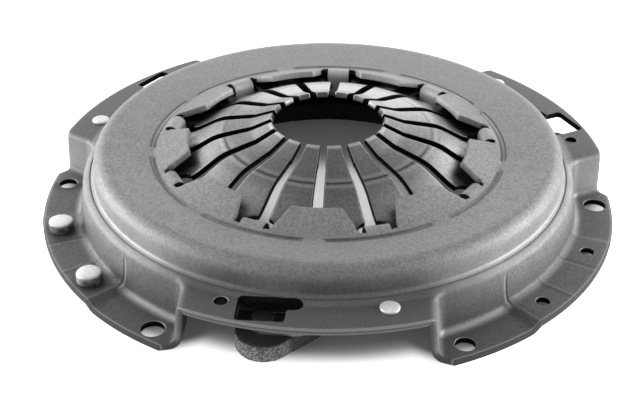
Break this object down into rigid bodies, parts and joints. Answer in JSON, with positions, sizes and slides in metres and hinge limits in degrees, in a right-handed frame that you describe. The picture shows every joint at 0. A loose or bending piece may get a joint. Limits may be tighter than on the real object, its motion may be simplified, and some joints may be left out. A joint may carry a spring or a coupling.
{
  "type": "clutch pressure plate",
  "caption": "Diaphragm-spring clutch cover assembly: pressed steel cover, slotted cone spring with release fingers, and a cast iron pressure plate hung on leaf straps.",
  "frame": {"origin": "on the clutch axis, in the plane of the mounting face that bolts to the flywheel", "axes": "+Z along the clutch axis, from the flywheel towards the release bearing; -Y through the middle of one raised section"},
  "size_m": [0.2412, 0.2376, 0.0399],
  "materials": {
    "cover_steel": "satin pressed steel",
    "spring_steel": "shot-peened spring steel",
    "wire_steel": "drawn wire",
    "cast_iron": "rough cast iron with a turned friction face",
    "strap_steel": "rolled spring strip",
    "bright_rivet": "bright plated",
    "dark_rivet": "plain steel"
  },
  "bodies": {
    "cover_body": {"cover": "cover_steel", "diaphragm_spring": "spring_steel", "lower_pivot_ring": "wire_steel", "strap_a_leaf_1": "strap_steel", "strap_a_leaf_2": "strap_steel", "strap_a_leaf_3": "strap_steel", "strap_b_leaf_1": "strap_steel", "strap_b_leaf_2": "strap_steel", "strap_b_leaf_3": "strap_steel", "strap_c_leaf_1": "strap_steel", "strap_c_leaf_2": "strap_steel", "strap_c_leaf_3": "strap_steel", "cover_rivet_a": "bright_rivet", "cover_rivet_b": "bright_rivet", "cover_rivet_c": "bright_rivet", "balance_rivet_a": "bright_rivet", "balance_rivet_b": "bright_rivet"},
    "plate_body": {"pressure_plate": "cast_iron", "lug_rivet_a": "dark_rivet", "lug_rivet_b": "dark_rivet", "lug_rivet_c": "dark_rivet", "lug_washer_a": "dark_rivet", "lug_washer_b": "dark_rivet", "lug_washer_c": "dark_rivet"}
  },
  "joints": [
    {"name": "plate_lift", "type": "slide", "parent": "cover_body", "child": "plate_body", "axis": [0, 0, 1], "range_m": [0, 0.003], "stiffness_N_per_m": 30000, "springref_m": -0.004, "deforming": ["diaphragm_spring", "strap_a_leaf_1", "strap_a_leaf_2", "strap_a_leaf_3", "strap_b_leaf_1", "strap_b_leaf_2", "strap_b_leaf_3", "strap_c_leaf_1", "strap_c_leaf_2", "strap_c_leaf_3"]}
  ]
}
